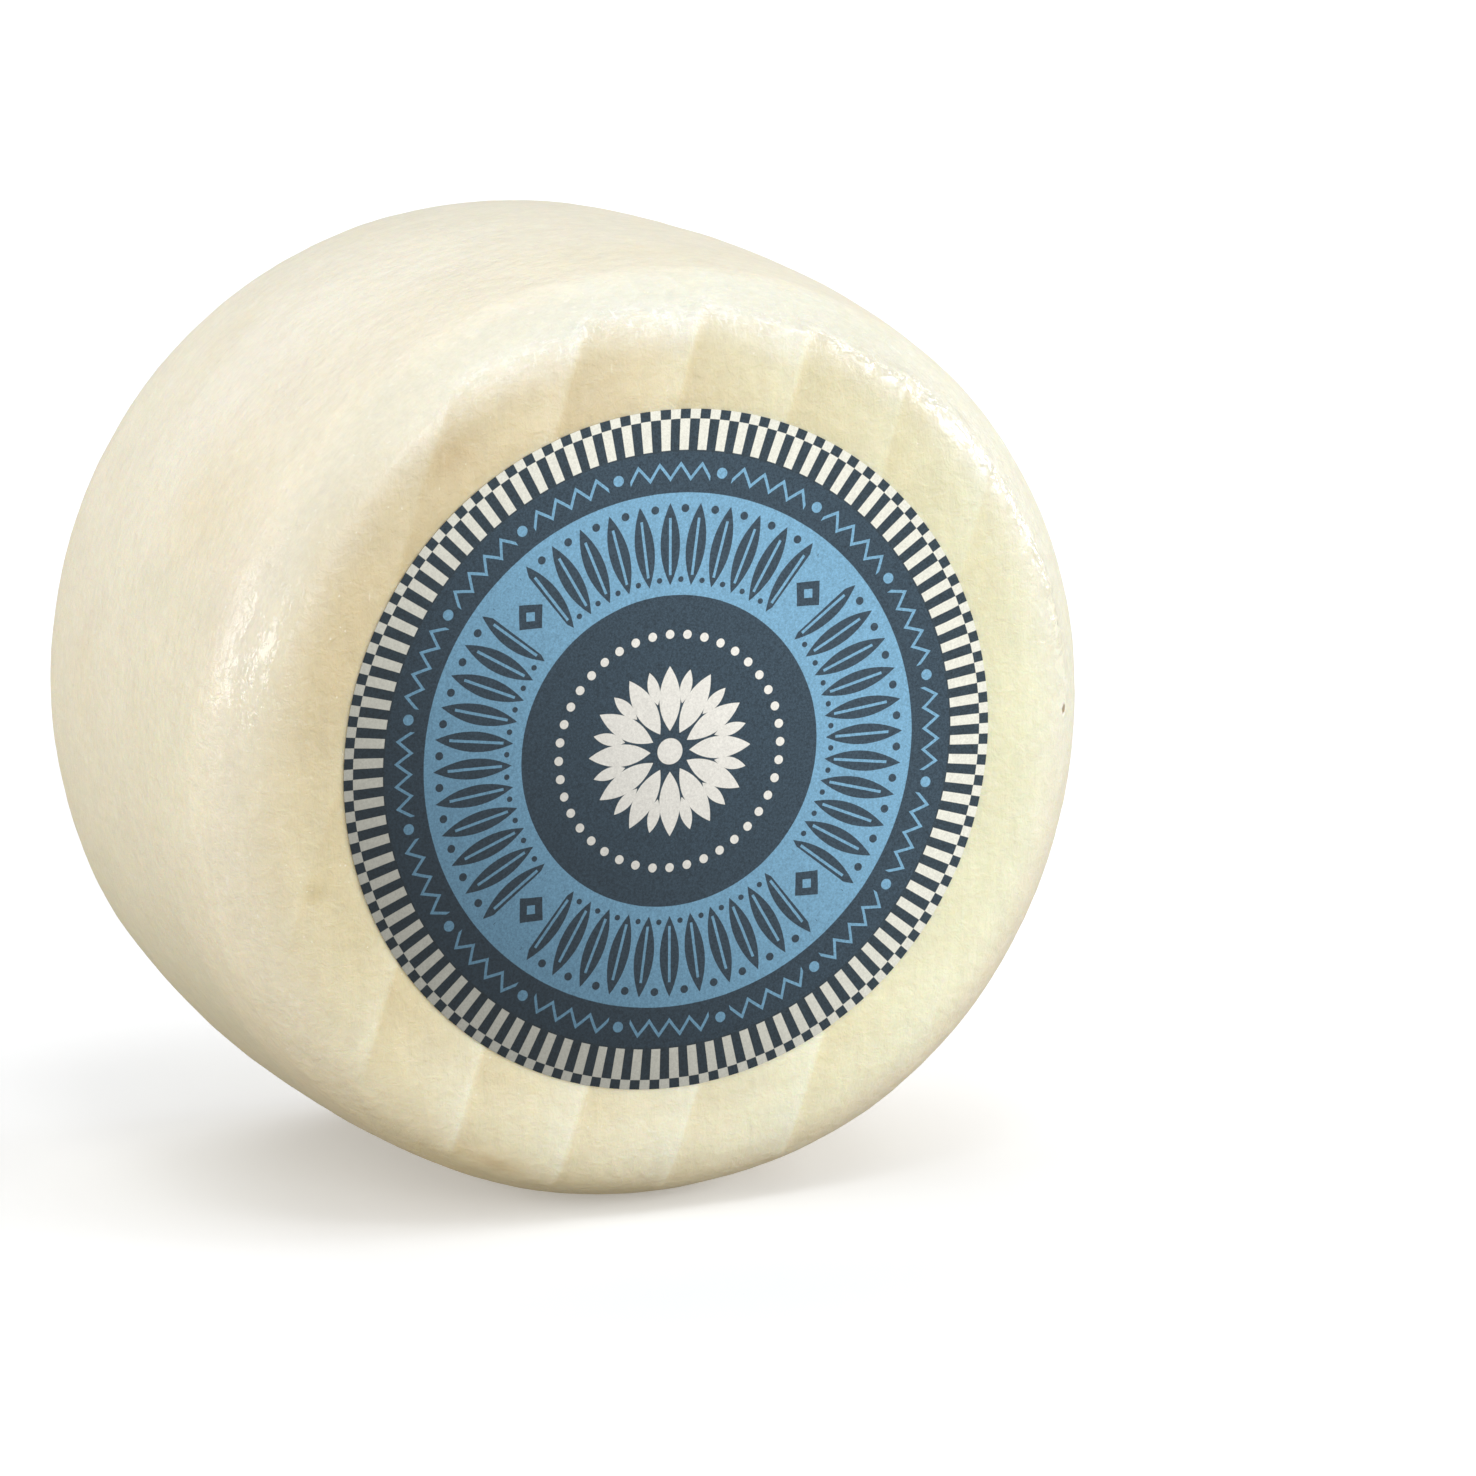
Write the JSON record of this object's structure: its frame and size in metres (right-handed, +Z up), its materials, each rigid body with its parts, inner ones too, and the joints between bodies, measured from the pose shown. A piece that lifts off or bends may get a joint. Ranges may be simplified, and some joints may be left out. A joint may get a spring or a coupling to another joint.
{
  "type": "fresh goat cheese",
  "caption": "Whole wheel of fresh goat cheese standing on its rim: barrel-shaped ivory rim, rounded shoulders, board ridges on the faces and a round paper label.",
  "frame": {"origin": "on the ground, under the middle of the part's box, at the middle of the small flat spot that the wheel stands on", "axes": "+Z up; Y along the wheel's axis, with the labelled face looking along -Y; X across the wheel"},
  "size_m": [0.1696, 0.1006, 0.1675],
  "materials": {
    "cheese_rind": "satin",
    "label_paper": "matte"
  },
  "bodies": {
    "root": {"cheese": "cheese_rind", "label": "label_paper"}
  },
  "joints": []
}
